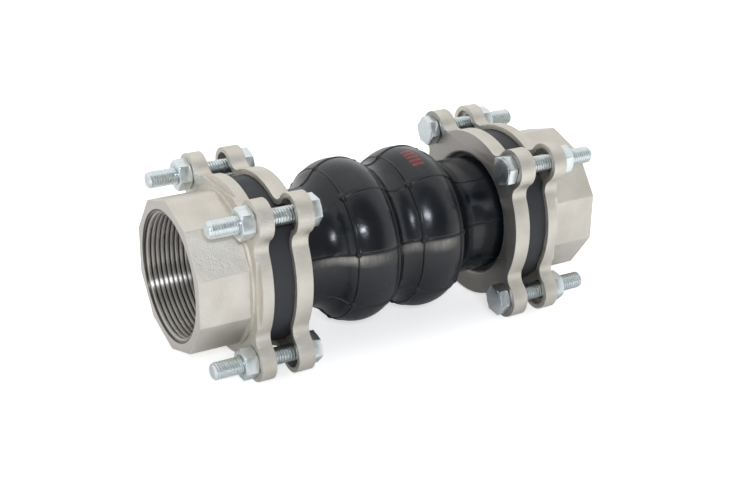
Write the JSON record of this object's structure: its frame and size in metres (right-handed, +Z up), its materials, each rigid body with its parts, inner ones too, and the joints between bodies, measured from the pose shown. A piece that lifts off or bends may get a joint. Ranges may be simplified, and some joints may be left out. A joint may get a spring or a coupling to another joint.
{
  "type": "threaded rubber expansion joint",
  "caption": "Twin-sphere rubber expansion joint with bolted cast socket flanges and female pipe threads at both ends.",
  "frame": {"origin": "middle of the joint, on the pipe axis", "axes": "+X along the pipe axis towards the right socket, +Z up; the joint rests on the lower lobes of its plates"},
  "size_m": [0.21, 0.0852, 0.0852],
  "materials": {
    "stainless": "satin",
    "rubber": "satin",
    "zinc": "satin"
  },
  "bodies": {
    "left_end": {"left_socket_flange": "stainless", "left_backing_ring": "stainless", "left_bolt_1": "zinc", "left_bolt_2": "zinc", "left_bolt_3": "zinc", "left_bolt_4": "zinc", "left_nut_1": "zinc", "left_nut_2": "zinc", "left_nut_3": "zinc", "left_nut_4": "zinc"},
    "bellows": {"bellows": "rubber"},
    "right_end": {"right_backing_ring": "stainless", "right_socket_flange": "stainless", "right_bolt_1": "zinc", "right_bolt_2": "zinc", "right_bolt_3": "zinc", "right_bolt_4": "zinc", "right_nut_1": "zinc", "right_nut_2": "zinc", "right_nut_3": "zinc", "right_nut_4": "zinc"}
  },
  "joints": [
    {"name": "axial_squeeze", "type": "slide", "parent": "left_end", "child": "bellows", "axis": [1, 0, 0], "range_m": [-0.022, 0.006], "stiffness_N_per_m": 40000, "deforming": ["bellows"]},
    {"name": "sideways_bend", "type": "hinge", "parent": "bellows", "child": "right_end", "pos_m": [0.0172, 0, 0], "axis": [0, 0, 1], "range_deg": [-22.5, 22.5], "stiffness_Nm_per_rad": 40, "deforming": ["bellows"]}
  ]
}
